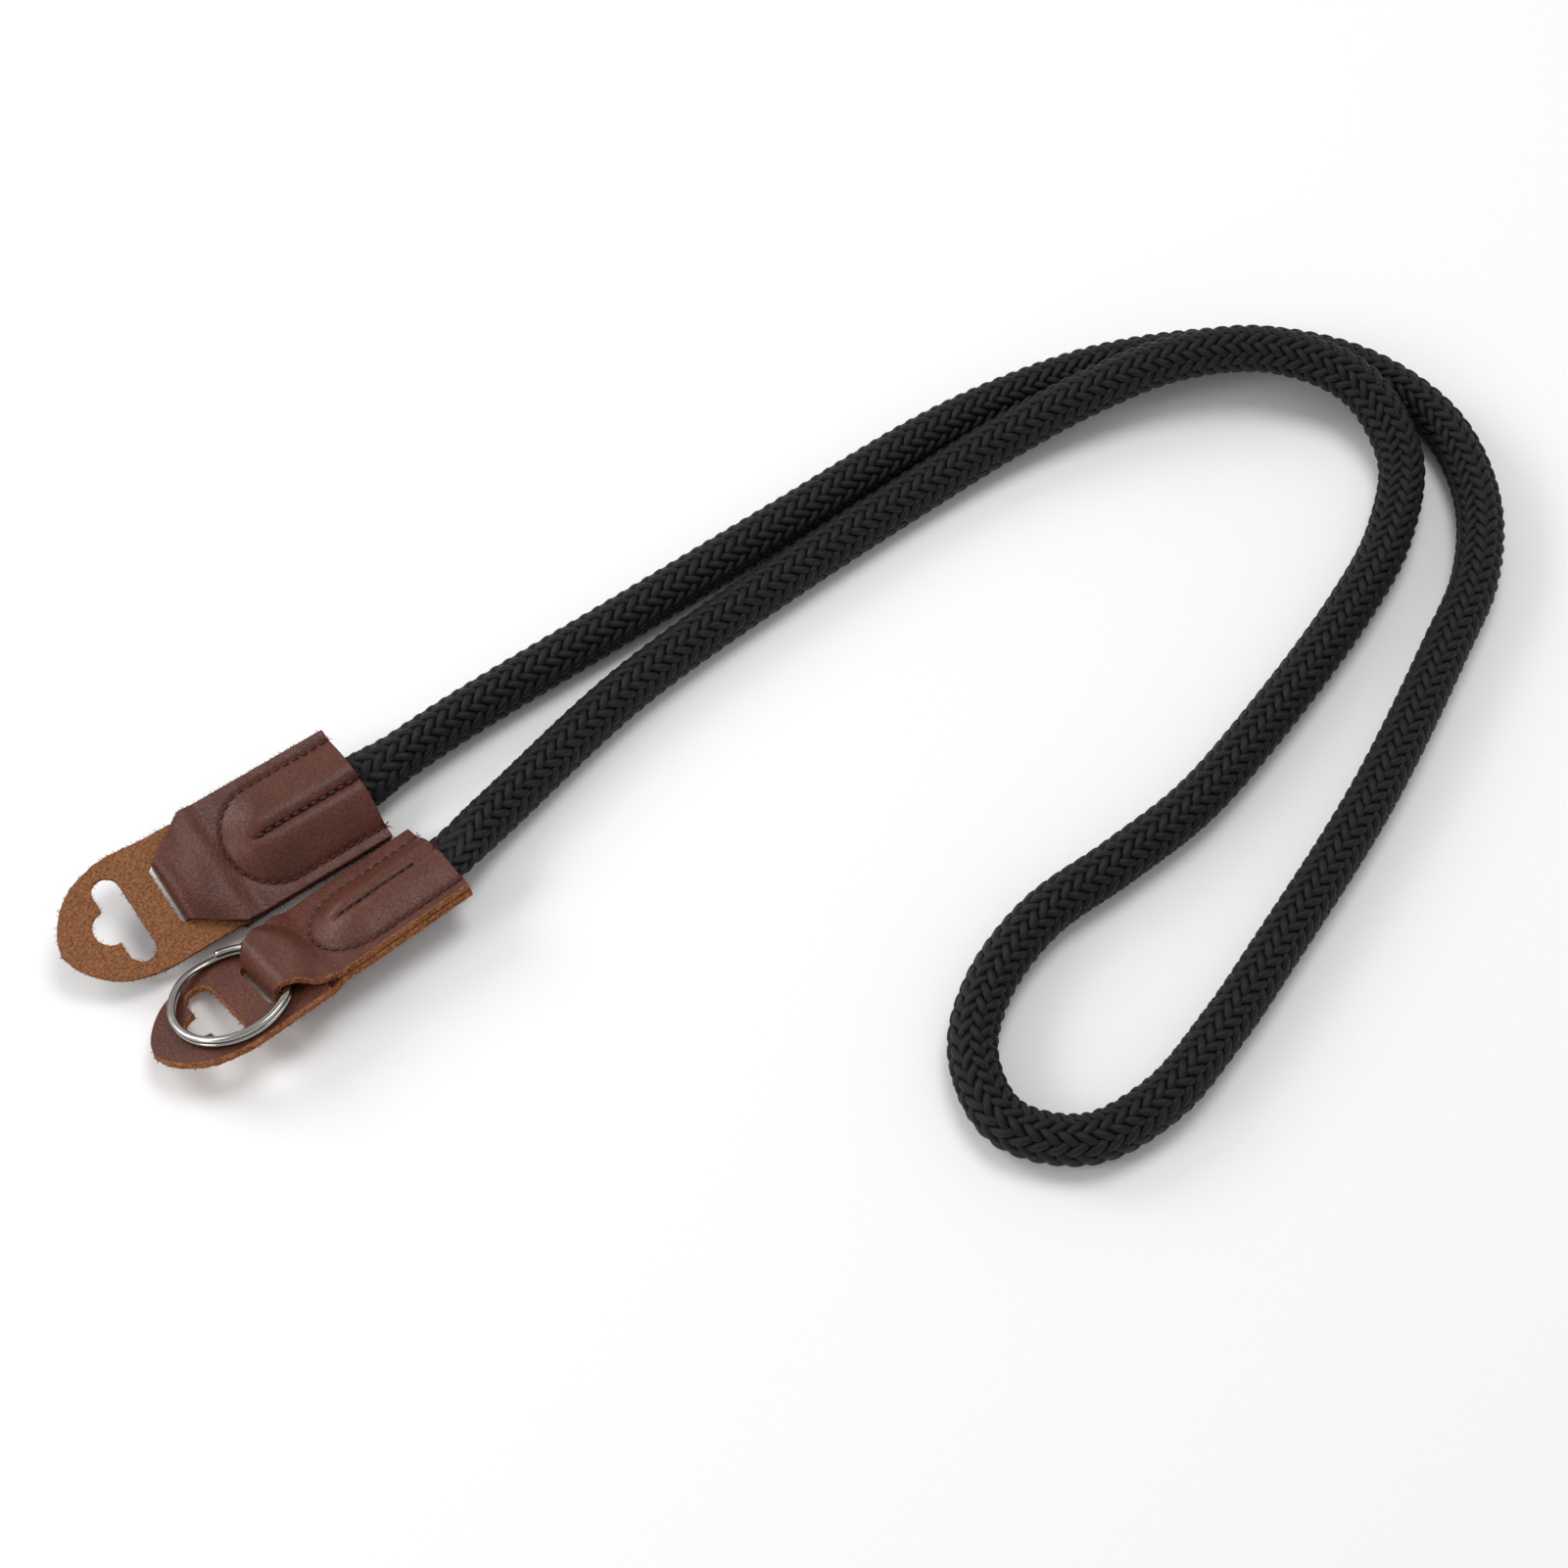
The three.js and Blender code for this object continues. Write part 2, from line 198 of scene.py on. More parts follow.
# The ends are hand-made and differ. left and right are the tab's half-widths, seam and dome are the pocket's
# width and height, sewn is the width and height of the rope in it and crease is the depth of the dome's
# crease. groove_end is how far the groove's seam stops short of the mouth. trim is the share of the flap's
# width that is cut away on its right towards the rear, and corner is how much of its rear corner there is cut
# off. ring_aside is how far the ring lies to the left. The rest says where the end lies: the fold's middle,
# the yaw, the roll about x and how much the rope's side is lifted.
ENDS = {
    "a": {
        "left": 12.8, "right": 12.8, "seam": 20.6, "dome": 4, "sewn": (12.2, 6.8), "crease": 0.5,
        "groove_end": 0.8, "trim": 0.06, "corner": 2.3, "ring_aside": -0.5,
        "place": (-11, 13.5, 7.38), "yaw": -0.3, "roll": 197, "lift": -1.8,
    },
    "b": {
        "left": 11.8, "right": 10.8, "seam": 16.8, "dome": 3.2, "sewn": (12.8, 5.2), "crease": 0.12,
        "groove_end": 5, "trim": 0, "corner": 0.5, "ring_aside": 0.4,
        "place": (-7.6, -13.5, 6.26), "yaw": 2, "roll": -20, "lift": 0.8,
    },
}

# The rope's free stretch from end a to end b: x, y and the height above lying on the ground
ROUTE = [
    (57, 14.8, 0), (97, 14.3, 0), (137, 13.9, 0), (177, 13.4, 0), (197, 10.8, 0), (216.5, 5.8, 0),
    (234.5, -2.6, 0), (251, -14.2, 0), (262, -30.4, 0), (264.8, -50, 0), (257.8, -68.5, 0), (244, -82.8, 0),
    (226.5, -92.3, 0), (190.5, -109.5, 0), (153, -123.5, 0), (134, -130, 0), (114.5, -134.6, 0),
    (98, -132.2, 0), (88.5, -120.5, 0), (92, -106.5, 0), (103, -97, 0), (121, -90.9, 0), (141, -90.5, 0),
    (161, -89.4, 0), (180.5, -85, 0), (218.5, -73, 0), (237, -64.3, 0.1), (251.8, -51, 0.9),
    (254.5, -33.5, 5.6), (244.3, -17, 8), (227.3, -6.5, 7.5), (208.2, -0.9, 4.9), (188.5, 2.2, 1.9),
    (168.5, 3.2, 0.3), (129, 2.6, 0), (89, -0.1, 0), (50, -8.3, 0.3),
]

# Camera: where it stands and what it looks at, in millimetres, and its field of view across the picture
CAMERA_AT = (-94.7, -295.0, 542.6)
CAMERA_AIM = (101.5, -34.6, 0)
FIELD_OF_VIEW = 27.84
SENSOR_WIDTH = 36
CLIP_START = 0.01

# The surroundings are white at and below the horizon and darken overhead: from one height of the view's
# direction to another, and the brightness at each. The lights are given by place in metres, size and power.
SKY_FADE = (0.02, 0.45, 0.95, 0.5)
FLOOR_SIZE = 8
FLOOR_COLOUR = (0.93, 0.93, 0.93)
LIGHTS_AIM = (0.08, -0.03, 0)
LIGHTS = [
    ("back", (-0.3, 0.75, 0.55), 0.5, 3.6),
    ("top", (0.4, 0.1, 0.95), 0.5, 3.4),
    ("side", (-0.65, 0.15, 0.5), 0.3, 1.6),
]


def smooth(low, high, value):
    """Goes from 0 to 1 as value goes from low to high."""
    share = np.clip((value - low) / (high - low), 0, 1)
    return share * share * (3 - 2 * share)


def mix(start, end, share):
    return start + (end - start) * share


def unit(vectors):
    return vectors / np.maximum(np.linalg.norm(vectors, axis=-1, keepdims=True), 1e-12)


def ruffle(points, scale, seed=0.0):
    """Smooth noise from -1 to 1 at each point; scale is the size of its bumps in millimetres."""
    flat = points.reshape(-1, 3) / scale
    values = [noise.noise(Vector((x + seed, y - seed, z + 2 * seed))) for x, y, z in flat]
    return np.array(values).reshape(points.shape[:-1])


def end_axes(end):
    """The end's x, y and z directions as the columns of a matrix."""
    roll, turn, yaw = math.radians(end["roll"]), math.radians(-end["lift"]), math.radians(end["yaw"])
    about_x = np.array([[1, 0, 0], [0, math.cos(roll), -math.sin(roll)], [0, math.sin(roll), math.cos(roll)]])
    about_y = np.array([[math.cos(turn), 0, math.sin(turn)], [0, 1, 0], [-math.sin(turn), 0, math.cos(turn)]])
    about_z = np.array([[math.cos(yaw), -math.sin(yaw), 0], [math.sin(yaw), math.cos(yaw), 0], [0, 0, 1]])
    return about_z @ about_y @ about_x


def to_world(points, end):
    return np.asarray(points, float) @ end_axes(end).T + np.array(end["place"])


def to_local(points, end):
    return (points - np.array(end["place"])) @ end_axes(end)


def make_object(name, vertices, faces, materials, face_materials=None, uv=None, flat=None):
    """A mesh object from points in millimetres. Each row or item of faces holds one face's point numbers."""
    mesh = bpy.data.meshes.new(name)
    faces = faces.tolist() if isinstance(faces, np.ndarray) else faces
    mesh.from_pydata((np.asarray(vertices) * METRES).tolist(), [], faces)
    smooth_faces = np.ones(len(mesh.polygons), bool)
    if flat is not None:
        smooth_faces[flat] = False
    mesh.polygons.foreach_set("use_smooth", smooth_faces)
    for material in materials:
        mesh.materials.append(material)
    if face_materials is not None:
        mesh.polygons.foreach_set("material_index", np.asarray(face_materials, np.int32))
    if uv is not None:
        layer = mesh.uv_layers.new(name="Strand")
        corners = np.empty(len(mesh.loops), np.int32)
        mesh.loops.foreach_get("vertex_index", corners)
        layer.data.foreach_set("uv", uv[corners].astype(np.float32).ravel())
    mesh.validate()
    thing = bpy.data.objects.new(name, mesh)
    bpy.context.scene.collection.objects.link(thing)
    return thing


# Materials

class Shader:
    """A small helper that adds nodes to one material and links them."""

    def __init__(self, name):
        self.material = bpy.data.materials.new(name)
        self.material.use_nodes = True
        self.tree = self.material.node_tree
        self.tree.nodes.clear()
        self.surface = self.add("ShaderNodeBsdfPrincipled")
        output = self.tree.nodes.new("ShaderNodeOutputMaterial")
        self.tree.links.new(self.surface.outputs[0], output.inputs["Surface"])

    def add(self, kind, settings=None, **sockets):
        node = self.tree.nodes.new(kind)
        for key, value in (settings or {}).items():
            setattr(node, key, value)
        for key, value in sockets.items():
            self.put(node, key.replace("_", " "), value)
        return node

    def put(self, node, socket, value):
        index = int(socket) if socket.isdigit() else socket
        if isinstance(value, bpy.types.NodeSocket):
            self.tree.links.new(value, node.inputs[index])
        else:
            node.inputs[index].default_value = value

    def place(self):
        return self.add("ShaderNodeTexCoord").outputs["Object"]

    def noise(self, vector, scale, detail=2.0, roughness=0.5):
        node = self.add("ShaderNodeTexNoise", Vector=vector, Scale=scale, Detail=detail, Roughness=roughness)
        return node.outputs["Fac"]

    def maths(self, operation, first, second=0.0):
        node = self.add("ShaderNodeMath", {"operation": operation})
        self.put(node, "0", first)
        self.put(node, "1", second)
        return node.outputs[0]

    def range(self, value, low, high, start, end):
        node = self.add("ShaderNodeMapRange", Value=value)
        for socket, number in (("From Min", low), ("From Max", high), ("To Min", start), ("To Max", end)):
            self.put(node, socket, number)
        return node.outputs[0]

    def blend(self, share, first, second, mode="MIX"):
        node = self.add("ShaderNodeMix", {"data_type": "RGBA", "blend_type": mode})
        self.put(node, "0", share)
        self.put(node, "6", first)
        self.put(node, "7", second)
        return node.outputs[2]

    def bump(self, height, strength, distance, normal=None):
        node = self.add("ShaderNodeBump", Height=height, Strength=strength, Distance=distance * METRES)
        if normal is not None:
            self.put(node, "Normal", normal)
        return node.outputs[0]

    def finish(self, **sockets):
        for key, value in sockets.items():
            self.put(self.surface, key.replace("_", " "), value)
        return self.material


def shade(colour, factor):
    return (colour[0] * factor, colour[1] * factor, colour[2] * factor, 1)


def grain_material(colour):
    """Smooth side of the leather: fine pebbles with painted shade in the grooves between them and painted
    highlight on their tops, soft gloss and slow changes of tone.
    """
    s = Shader("strap_grain")
    place = s.place()
    cells = s.add("ShaderNodeTexVoronoi", {"feature": "SMOOTH_F1"}, Vector=place, Scale=1900)
    pebbles = cells.outputs["Distance"]
    fine = s.noise(place, scale=1900, detail=3)
    clouds = s.noise(place, scale=110, detail=3)
    tone = s.blend(s.range(clouds, 0.3, 0.7, 0, 1), shade(colour, 0.86), shade(colour, 1.12))
    # Painted shade and highlight: darker in the grooves between the pebbles, lighter on their tops
    pebble_shade = s.range(pebbles, 0.05, 0.6, 1.15, 0.7)
    tone = s.blend(1.0, tone, s.add("ShaderNodeCombineColor", Red=pebble_shade, Green=pebble_shade, Blue=pebble_shade).outputs[0],
                   "MULTIPLY")
    height = s.maths("ADD", s.maths("MULTIPLY", pebbles, -0.8), s.maths("MULTIPLY", fine, 0.5))
    creases = s.bump(s.noise(place, scale=300, detail=3), strength=0.08, distance=0.1)
    normal = s.bump(height, strength=0.7, distance=0.13, normal=creases)
    rough = s.range(fine, 0.3, 0.7, 0.34, 0.48)
    return s.finish(Base_Color=tone, Roughness=rough, Normal=normal, Specular_IOR_Level=0.3)


def fibrous_material(name, look, colour):
    """Rough leather, cut edges, thread or the rope's inside: fibres, and blots where the look has them."""
    s = Shader(name)
    place = s.place()
    fibres = height = s.noise(place, *look["fibres"])
    first, second = (shade(colour, factor) for factor in look["tones"])
    tone = s.blend(s.range(fibres, *look["fade"], 0, 1), first, second)
    if "blots" in look:
        blots = s.noise(place, look["blots"], detail=3, roughness=0.6)
        tone = s.blend(s.range(blots, *look["blot_fade"]), tone, shade(colour, look["blot_tone"]))
        height = s.maths("ADD", fibres, s.maths("MULTIPLY", blots, look["blot_relief"]))
    return s.finish(Base_Color=tone, Roughness=look["rough"], Normal=s.bump(height, *look["relief"]),
                    Specular_IOR_Level=look["gloss"])


def braid_material(colour):
    """Strands of the braid: fine fibres along each strand."""
    s = Shader("strap_braid")
    uv = s.add("ShaderNodeUVMap", {"uv_map": "Strand"}).outputs[0]
    parts = s.add("ShaderNodeSeparateXYZ", Vector=uv)
    across, along = parts.outputs[0], parts.outputs[1]
    slant = s.maths("ADD", across, s.maths("MULTIPLY", along, 0.12))
    fibre_place = s.add("ShaderNodeCombineXYZ", X=s.maths("MULTIPLY", slant, 6.0),
                        Y=s.maths("MULTIPLY", along, 0.7), Z=0.0).outputs[0]
    fibres = s.noise(fibre_place, scale=1, detail=3, roughness=0.6)
    wear = s.noise(s.place(), scale=260, detail=3, roughness=0.6)
    tone = s.blend(s.range(fibres, 0.3, 0.7, 0, 1), shade(colour, 0.5), shade(colour, 1.7))
    tone = s.blend(s.range(wear, 0.3, 0.7, 0, 0.4), tone, shade(colour, 1.5))
    rough = s.range(fibres, 0.3, 0.7, 0.42, 0.62)
    normal = s.bump(fibres, strength=0.7, distance=0.16)
    return s.finish(Base_Color=tone, Roughness=rough, Normal=normal, Specular_IOR_Level=0.25)


def steel_material(colour):
    """Polished steel wire with faint drawing lines."""
    s = Shader("strap_steel")
    marks = s.noise(s.place(), scale=700, detail=3, roughness=0.6)
    rough = s.range(marks, 0.3, 0.7, 0.12, 0.24)
    return s.finish(Base_Color=shade(colour, 1), Metallic=1.0, Roughness=rough)


def floor_material(colour):
    return Shader("studio_floor").finish(Base_Color=shade(colour, 1), Roughness=1.0, Specular_IOR_Level=0.0)


# Rope

def centripetal(points, steps):
    """Points on a centripetal Catmull-Rom curve through the given points, steps to each stretch."""
    points = [2 * points[0] - points[1], *points, 2 * points[-1] - points[-2]]
    share = np.linspace(0, 1, steps, endpoint=False)
    line = []
    for before, start, end, after in zip(points, points[1:], points[2:], points[3:]):
        pairs = ((before, start), (start, end), (end, after))
        gaps = [max(np.linalg.norm(q - p), 1e-6) ** 0.5 for p, q in pairs]
        first = ((start - before) / gaps[0] - (end - before) / (gaps[0] + gaps[1]) + (end - start) / gaps[1])
        last = ((end - start) / gaps[1] - (after - start) / (gaps[1] + gaps[2]) + (after - end) / gaps[2])
        first, last = first * gaps[1], last * gaps[1]
        for t in share:
            a = 2 * t ** 3 - 3 * t ** 2 + 1
            b = t ** 3 - 2 * t ** 2 + t
            line.append(a * start + b * first + (1 - a) * end + (t ** 3 - t ** 2) * last)
    line.append(points[-2])
    return np.array(line)


def even_steps(line, step):
    """The same line with points at even distances, and how far along it each one is."""
    lengths = np.concatenate([[0], np.cumsum(np.linalg.norm(np.diff(line, axis=0), axis=1))])
    along = np.linspace(0, lengths[-1], max(2, round(lengths[-1] / step)) + 1)
    return np.stack([np.interp(along, lengths, line[:, k]) for k in range(3)], axis=1), along


def rope_line(step):
    """The rope's middle line, from inside end a's pocket to inside end b's."""
    pocket = (ROPE_TIP, (ROPE_TIP + TAB_LENGTH) / 2, TAB_LENGTH)
    outward = [to_world((x, 0, 0), ENDS["a"]) for x in pocket]
    inward = [to_world((x, 0, 0), ENDS["b"]) for x in reversed(pocket)]
    free = [np.array([x, y, ROPE_REST + above]) for x, y, above in ROUTE]
    return even_steps(centripetal([*outward, *free, *inward], 24), step)


def carried_frames(line):
    """Two directions across the line at each point, carried along it without twist."""
    ahead = unit(np.gradient(line, axis=0))
    side = np.empty_like(line)
    side[0] = unit(np.cross([0, 0, 1], ahead[0]))
    for i in range(1, len(line)):
        side[i] = side[i - 1] - ahead[i] * np.dot(side[i - 1], ahead[i])
        side[i] /= np.linalg.norm(side[i])
    return side, np.cross(ahead, side)


def press(points, centres):
    """Presses points round the rope's middle line flat where it is sewn into the tabs' pockets."""
    result = points.copy()
    for end in ENDS.values():
        local = to_local(centres, end)
        tip = mix(ROPE_TIP_SHARE, 1, smooth(ROPE_TIP, ROPE_TIP + TIP_TAPER, local[..., 0]))
        pressed = 1 - smooth(TAB_LENGTH, TAB_LENGTH + ROUNDING_OUT, local[..., 0])
        near = (np.abs(local[..., 1:]) < ROPE_DIAMETER).all(axis=-1) & (pressed > 0)
        pressed = np.where(near, pressed, 0)
        tip = np.where(near, tip, 1)
        offset = (points - centres) @ end_axes(end)
        widen, lower = (size / ROPE_DIAMETER for size in end["sewn"])
        offset[..., 1] *= tip * mix(1, widen, pressed)
        dent = 1 - pressed * SEWN_DENT * np.exp(-((2 * offset[..., 1] / DENT_WIDTH) ** 2))
        offset[..., 2] *= tip * dent * mix(1, lower, pressed)
        moved = centres + offset @ end_axes(end).T
        result = np.where(near[..., None], moved, result)
    return result


def tube_faces(rings, sides, closed=True):
    """Quads between rings of points that follow each other, sides points each."""
    ring = np.arange(rings - 1)[:, None] * sides
    start = np.arange(sides if closed else sides - 1)[None, :]
    after = (start + 1) % sides
    quads = np.stack([ring + start, ring + after, ring + sides + after, ring + sides + start], axis=-1)
    return quads.reshape(-1, 4)


def band(above, below):
    """Quads between two closed rings of point numbers."""
    return np.stack([above, below, np.roll(below, -1), np.roll(above, -1)], axis=1)


def capped_tube(rings, sides, first=0):
    """Faces of a tube with closed ends, whose points are numbered from first on."""
    last = first + (rings - 1) * sides
    start_cap = list(range(first, first + sides))[::-1]
    return [*(tube_faces(rings, sides) + first).tolist(), start_cap, list(range(last, last + sides))]


def make_core(settings, colours):
    """The dark inside of the braid."""
    line, along = rope_line(CORE_STEP)
    side, up = carried_frames(line)
    sides = CORE_SIDES
    radius = settings.rope_diameter / METRES / 2 - settings.strand_thickness / METRES
    angle = np.linspace(0, 2 * math.pi, sides, endpoint=False)
    ring = side[:, None] * np.cos(angle)[None, :, None] + up[:, None] * np.sin(angle)[None, :, None]
    centres = np.repeat(line[:, None], sides, axis=1)
    points = press(centres + radius * ring, centres).reshape(-1, 3)
    # The core gets the rope's colour darkened, as painted shade in the gaps between the strands
    core = make_object("rope_core", points, capped_tube(len(line), sides),
                       [fibrous_material("strap_core_painted_shade", FIBROUS["core"], colours.rope)])
    return core, line, along


def strand_points(line, along, side, up, settings, strand, direction):
    """One strand's ribbon: rows along the rope, columns across it. It passes over two and under two."""
    strands = STRANDS_EACH_WAY
    diameter = settings.rope_diameter / METRES
    width = settings.strand_width / METRES
    thick = settings.strand_thickness / METRES
    lift = STRAND_LIFT * thick
    turn = 2 * math.pi * along / (settings.braid_lead / METRES)
    middle = diameter / 2 - thick / 2 - lift
    angle = direction * turn + 2 * math.pi * strand / strands
    phase = strands * turn / 2 + direction * (math.pi * strand - math.pi / 4)
    weave = direction * np.clip(FLOAT_FLATNESS * np.cos(phase), -1, 1)
    radius = middle + lift * weave
    columns = np.array(STRAND_COLUMNS)
    crown = (np.sqrt(1 - columns ** 2) - 0.5) * thick * np.where(np.abs(columns) == 1, STRAND_EDGE_DROP, 1)
    slope = math.atan(2 * math.pi * middle / (settings.braid_lead / METRES))
    spread = (width / 2) * columns[None, :]
    ahead = unit(np.gradient(line, axis=0))
    outward = side * np.cos(angle)[:, None] + up * np.sin(angle)[:, None]
    around = np.cross(ahead, outward)
    squeeze = mix(*STRAND_SQUEEZE, 0.5 + 0.5 * weave)[:, None]
    sideways = spread * squeeze
    step_along = -direction * sideways * math.sin(slope)
    step_round = sideways * math.cos(slope) / radius[:, None]
    row = np.arange(len(line), dtype=float)[:, None] + step_along / (along[1] - along[0])
    row = np.clip(row, 0, len(line) - 1)
    low = np.floor(row).astype(int).clip(0, len(line) - 2)
    share = (row - low)[..., None]
    centre = line[low] * (1 - share) + line[low + 1] * share
    out = outward[:, None] * np.cos(step_round)[..., None] + around[:, None] * np.sin(step_round)[..., None]
    tangent = ahead[low]
    out = unit(out - tangent * np.sum(out * tangent, axis=-1, keepdims=True))
    points = centre + out * (radius[:, None] + crown[None, :])[..., None]
    uv = np.empty(points.shape[:2] + (2,))
    uv[..., 0] = columns[None, :] + STRAND_UV_SHIFT * strand + LAYER_UV_SHIFT * (direction > 0)
    uv[..., 1] = (along / math.cos(slope))[:, None]
    return press(points, centre), uv


def make_strands(settings, colours):
    """All the interlaced strands, in four pieces."""
    line, along = rope_line(settings.braid_lead / METRES / STEPS_EACH_TURN)
    inside_a = to_local(line, ENDS["a"])
    inside_b = to_local(line, ENDS["b"])
    hidden = TAB_LENGTH - STRANDS_HIDDEN
    start = int(np.argmax(inside_a[:, 0] > hidden))
    stop = len(line) - int(np.argmax(inside_b[::-1, 0] > hidden))
    side, up = carried_frames(line)
    material = braid_material(colours.rope)
    pieces = []
    for direction in (1, -1):
        for half in (0, 1):
            vertices, faces, marks = [], [], []
            for strand in range(half, STRANDS_EACH_WAY, 2):
                points, uv = strand_points(line, along, side, up, settings, strand, direction)
                points, uv = points[start:stop], uv[start:stop]
                rows, columns = points.shape[:2]
                quads = tube_faces(rows, columns, closed=False) + sum(len(v) for v in vertices)
                vertices.append(points.reshape(-1, 3))
                marks.append(uv.reshape(-1, 2))
                faces.append(quads)
            name = f"strands_{'s' if direction > 0 else 'z'}_{half + 1}"
            pieces.append(make_object(name, np.concatenate(vertices), np.concatenate(faces), [material],
                                      uv=np.concatenate(marks)))
    return pieces


# Leather tabs

def tab_edge(x, sign, end):
    """The strip's edge on one side of the end, from the fold to the rope's side."""
    share = np.clip((x - LEATHER / 2) / TAPER_LENGTH, 0, 1) ** TAPER_POWER
    return sign * mix(FOLD_WIDTH / 2, np.where(sign > 0, end["left"], end["right"]), share)


def dome_height(x, y, end):
    """How far the dome stands up inside the seam, with its groove."""
    back = np.maximum(0, SEAM_TIP + SEAM_ROUND - x) / SEAM_ROUND
    out = np.hypot(back, y / (end["seam"] / 2))
    swell = end["dome"] * np.maximum(0, 1 - out ** 2) ** 1.2
    groove = end["dome"] * GROOVE_SHARE * np.exp(-((2 * y / GROOVE_WIDTH) ** 2))
    return swell - groove * smooth(GROOVE_START - 2, GROOVE_START + 3, x)


def layer_height(x, y, side, end):
    """Height of a layer's middle above the flap's. side is 1 for the ring's side and -1 for the plain one."""
    sewn = (LEATHER + CLEARANCE) / 2
    over_flap = FLAP_THICKNESS / 2 + CLEARANCE + LEATHER / 2
    base = mix(over_flap, sewn, smooth(FLAP_REAR, FLAP_REAR + FLAP_LAYER_RUN, x))
    if side > 0:
        past_ring = np.hypot(x - RING_CENTRE, y - end["ring_aside"]) - RING_DIAMETER / 2
        raised = (RING_HEIGHT + CLEARANCE) * (1 - smooth(*RING_LAYER_RUN, past_ring))
    else:
        edge = tab_edge(x, np.where(y < 0, -1, 1), end)
        raised = PLAIN_BULGE * (1 - (y / edge) ** 2) * (1 - smooth(FOLD_RUN, PLAIN_BULGE_END, x))
    return base + raised + dome_height(x, y, end)


def strip_rows(end, columns):
    """The strip's middle surface as rows of points, from the rope's side over the fold and back."""
    across = np.linspace(-1, 1, columns)
    sign = np.where(across < 0, -1, 1)
    straight = FLAP_THICKNESS / 2 + CLEARANCE / 2
    rows = []

    def layer(x, side):
        y = np.abs(across) * tab_edge(x, sign, end)
        rows.append(np.stack([np.full(columns, x), y, side * layer_height(x, y, side, end)], axis=1))

    def corner(angle, side):
        x = FOLD_RUN + (FOLD_RUN - LEATHER / 2) * math.cos(angle)
        y = np.abs(across) * tab_edge(x, sign, end)
        rise = (layer_height(FOLD_RUN, y, side, end) - straight) * math.sin(angle)
        rows.append(np.stack([np.full(columns, x), y, side * (straight + rise)], axis=1))

    stations = np.linspace(TAB_LENGTH, FOLD_RUN, TAB_STATIONS)
    bend = np.linspace(math.pi / 2, math.pi, FOLD_STEPS)
    for x in stations:
        layer(x, 1)
    for angle in bend[1:]:
        corner(angle, 1)
    for angle in bend[::-1]:
        corner(angle, -1)
    for x in stations[::-1][1:]:
        layer(x, -1)
    return np.array(rows)


def sheet_normals(rows):
    along = np.gradient(rows, axis=0)
    across = np.gradient(rows, axis=1)
    return unit(np.cross(across, along))


def seam_lines(end):
    """The sewing lines as rows of (x, y): the U round the pocket, and the line along its groove."""
    half = end["seam"] / 2
    straight = np.linspace(TAB_LENGTH - SEAM_OFF_MOUTH, SEAM_TIP + SEAM_ROUND, SEAM_POINTS)
    angle = np.linspace(math.pi / 2, 3 * math.pi / 2, 2 * SEAM_POINTS)
    bend = np.stack([SEAM_TIP + SEAM_ROUND + SEAM_ROUND * np.cos(angle), half * np.sin(angle)], axis=1)
    left = np.stack([straight, np.full(SEAM_POINTS, half)], axis=1)
    right = np.stack([straight[::-1], np.full(SEAM_POINTS, -half)], axis=1)
    middle = np.linspace(GROOVE_START, TAB_LENGTH - end["groove_end"], SEAM_POINTS)
    return [np.concatenate([left, bend[1:-1], right]), np.stack([middle, np.zeros(SEAM_POINTS)], axis=1)]


def seam_dip(rows, end, pitch):
    """How deep the thread pulls the leather's surface in: most at the needle holes."""
    dip = np.zeros(rows.shape[:2])
    for line in seam_lines(end):
        flat, along = even_steps(np.column_stack([line, np.zeros(len(line))]), 0.2)
        for row, points in enumerate(rows):
            gaps = np.hypot(points[:, None, 0] - flat[None, :, 0], points[:, None, 1] - flat[None, :, 1])
            nearest = np.argmin(gaps, axis=1)
            gap, place = gaps.min(axis=1), along[nearest]
            holes = 0.5 + 0.5 * np.cos(2 * math.pi * place / pitch)
            pull = (HOLE_DEPTH * holes * np.exp(-((gap / HOLE_REACH) ** 2))
                    + SEAM_DEPTH * np.exp(-((gap / SEAM_REACH) ** 2)))
            dip[row] = np.maximum(dip[row], pull)
    return dip


def groove_crease(rows, end):
    """The sharp crease along the middle of the dome, which the sewn groove makes."""
    x, y = rows[..., 0], rows[..., 1]
    wander = 0.22 * ruffle(np.stack([x, 0 * y, 0 * x], axis=-1), 4.0, 9.2)
    reach = smooth(GROOVE_START - 1.5, GROOVE_START + 2, x)
    return end["crease"] * reach * np.exp(-(((y - wander) / CREASE_WIDTH) ** 2))


